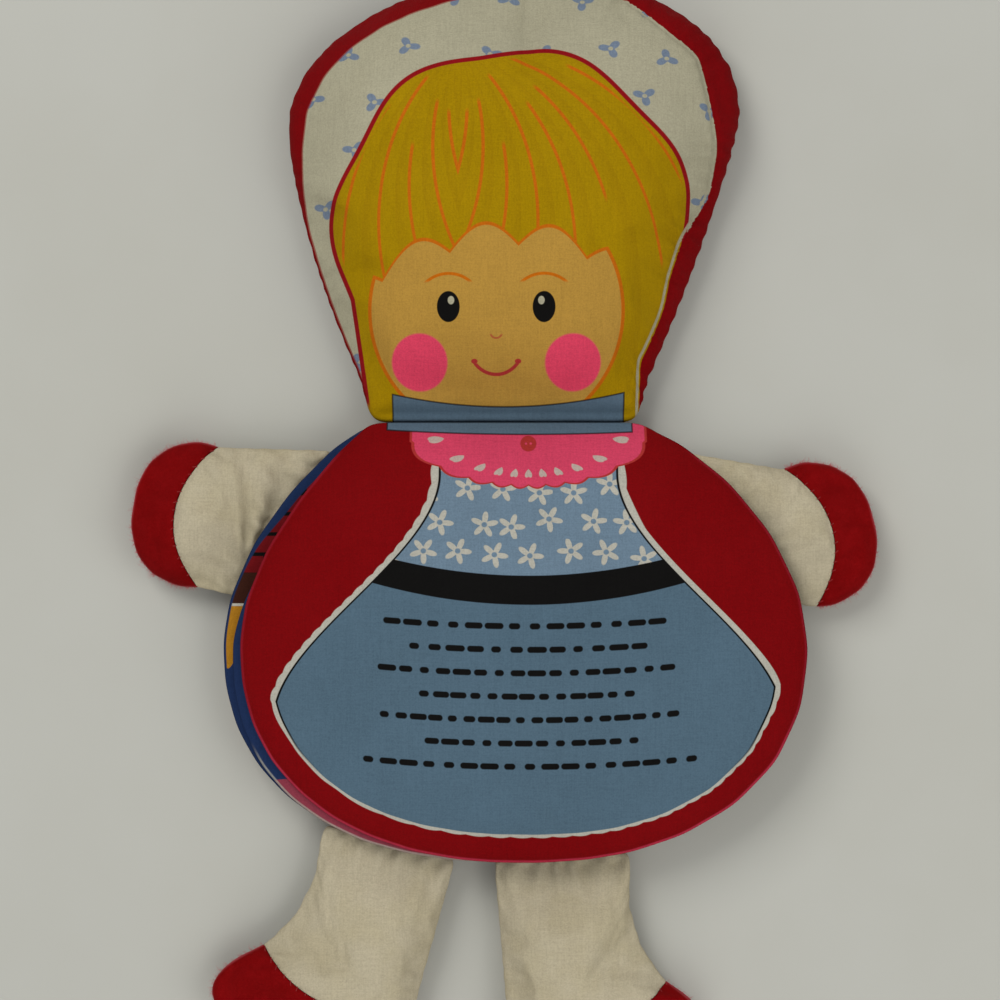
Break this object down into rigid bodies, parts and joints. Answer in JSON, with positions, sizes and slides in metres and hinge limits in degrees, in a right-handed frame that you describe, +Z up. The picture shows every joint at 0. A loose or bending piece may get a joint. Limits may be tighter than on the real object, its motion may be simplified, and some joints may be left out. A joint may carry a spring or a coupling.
{
  "type": "storybook doll",
  "caption": "Stuffed cloth doll whose skirt is a fan of padded cloth pages sewn at the neck, with felt hands and shoes, lying on its back.",
  "frame": {"origin": "middle of the doll's box, on the surface that it lies on", "axes": "+Z up out of the doll's front, +Y from the feet to the head, +X to the doll's own left"},
  "size_m": [0.283, 0.4194, 0.0439],
  "materials": {
    "head_print": "matte",
    "red_cotton": "matte",
    "page_print": "matte",
    "muslin": "matte",
    "red_felt": "matte",
    "fibrefill": "matte"
  },
  "bodies": {
    "head": {"head_front_cloth": "head_print", "head_back_cloth": "red_cotton", "head_stuffing": "fibrefill"},
    "body": {"body_front_cloth": "page_print", "body_back_cloth": "red_cotton", "body_stuffing": "fibrefill"},
    "page_3": {"page_3_front_cloth": "page_print", "page_3_wadding": "fibrefill", "page_3_back_cloth": "page_print"},
    "page_2": {"page_2_front_cloth": "page_print", "page_2_wadding": "fibrefill", "page_2_back_cloth": "page_print"},
    "page_1": {"page_1_front_cloth": "page_print", "page_1_wadding": "fibrefill", "page_1_back_cloth": "page_print"},
    "right_arm": {"right_sleeve_front": "muslin", "right_sleeve_back": "muslin", "right_arm_stuffing": "fibrefill", "right_hand_front_felt": "red_felt", "right_hand_back_felt": "red_felt"},
    "left_arm": {"left_sleeve_front": "muslin", "left_sleeve_back": "muslin", "left_arm_stuffing": "fibrefill", "left_hand_front_felt": "red_felt", "left_hand_back_felt": "red_felt"},
    "right_leg": {"right_leg_front_cloth": "muslin", "right_leg_back_cloth": "muslin", "right_leg_stuffing": "fibrefill", "right_shoe_front_felt": "red_felt", "right_shoe_back_felt": "red_felt"},
    "left_leg": {"left_leg_front_cloth": "muslin", "left_leg_back_cloth": "muslin", "left_leg_stuffing": "fibrefill", "left_shoe_front_felt": "red_felt", "left_shoe_back_felt": "red_felt"}
  },
  "joints": [
    {"name": "head_nod", "type": "hinge", "parent": "body", "child": "head", "pos_m": [-0.00009, 0.04036, 0.0092], "axis": [-1, 0, 0], "range_deg": [-25, 85]},
    {"name": "page_3_turn", "type": "hinge", "parent": "body", "child": "page_3", "pos_m": [-0.00009, 0.03826, 0.01065], "axis": [-1, 0, 0], "range_deg": [0, 30]},
    {"name": "page_2_turn", "type": "hinge", "parent": "page_3", "child": "page_2", "pos_m": [-0.00009, 0.03826, 0.01285], "axis": [-1, 0, 0], "range_deg": [0, 50]},
    {"name": "page_1_turn", "type": "hinge", "parent": "page_2", "child": "page_1", "pos_m": [-0.00009, 0.03826, 0.01505], "axis": [-1, 0, 0], "range_deg": [0, 105]},
    {"name": "right_arm_swing", "type": "hinge", "parent": "body", "child": "right_arm", "pos_m": [-0.08307, 0.00187, 0.0092], "axis": [0.5338, 0.8456, 0], "range_deg": [-80, 8]},
    {"name": "left_arm_swing", "type": "hinge", "parent": "body", "child": "left_arm", "pos_m": [0.08155, 0.00182, 0.0092], "axis": [0.5045, -0.8634, 0], "range_deg": [-80, 8]},
    {"name": "right_leg_swing", "type": "hinge", "parent": "body", "child": "right_leg", "pos_m": [-0.04351, -0.11934, 0.0092], "axis": [-0.9724, 0.2334, 0], "range_deg": [-90, 25]},
    {"name": "left_leg_swing", "type": "hinge", "parent": "body", "child": "left_leg", "pos_m": [0.022, -0.12509, 0.0092], "axis": [-0.9988, -0.048, 0], "range_deg": [-90, 25]}
  ]
}
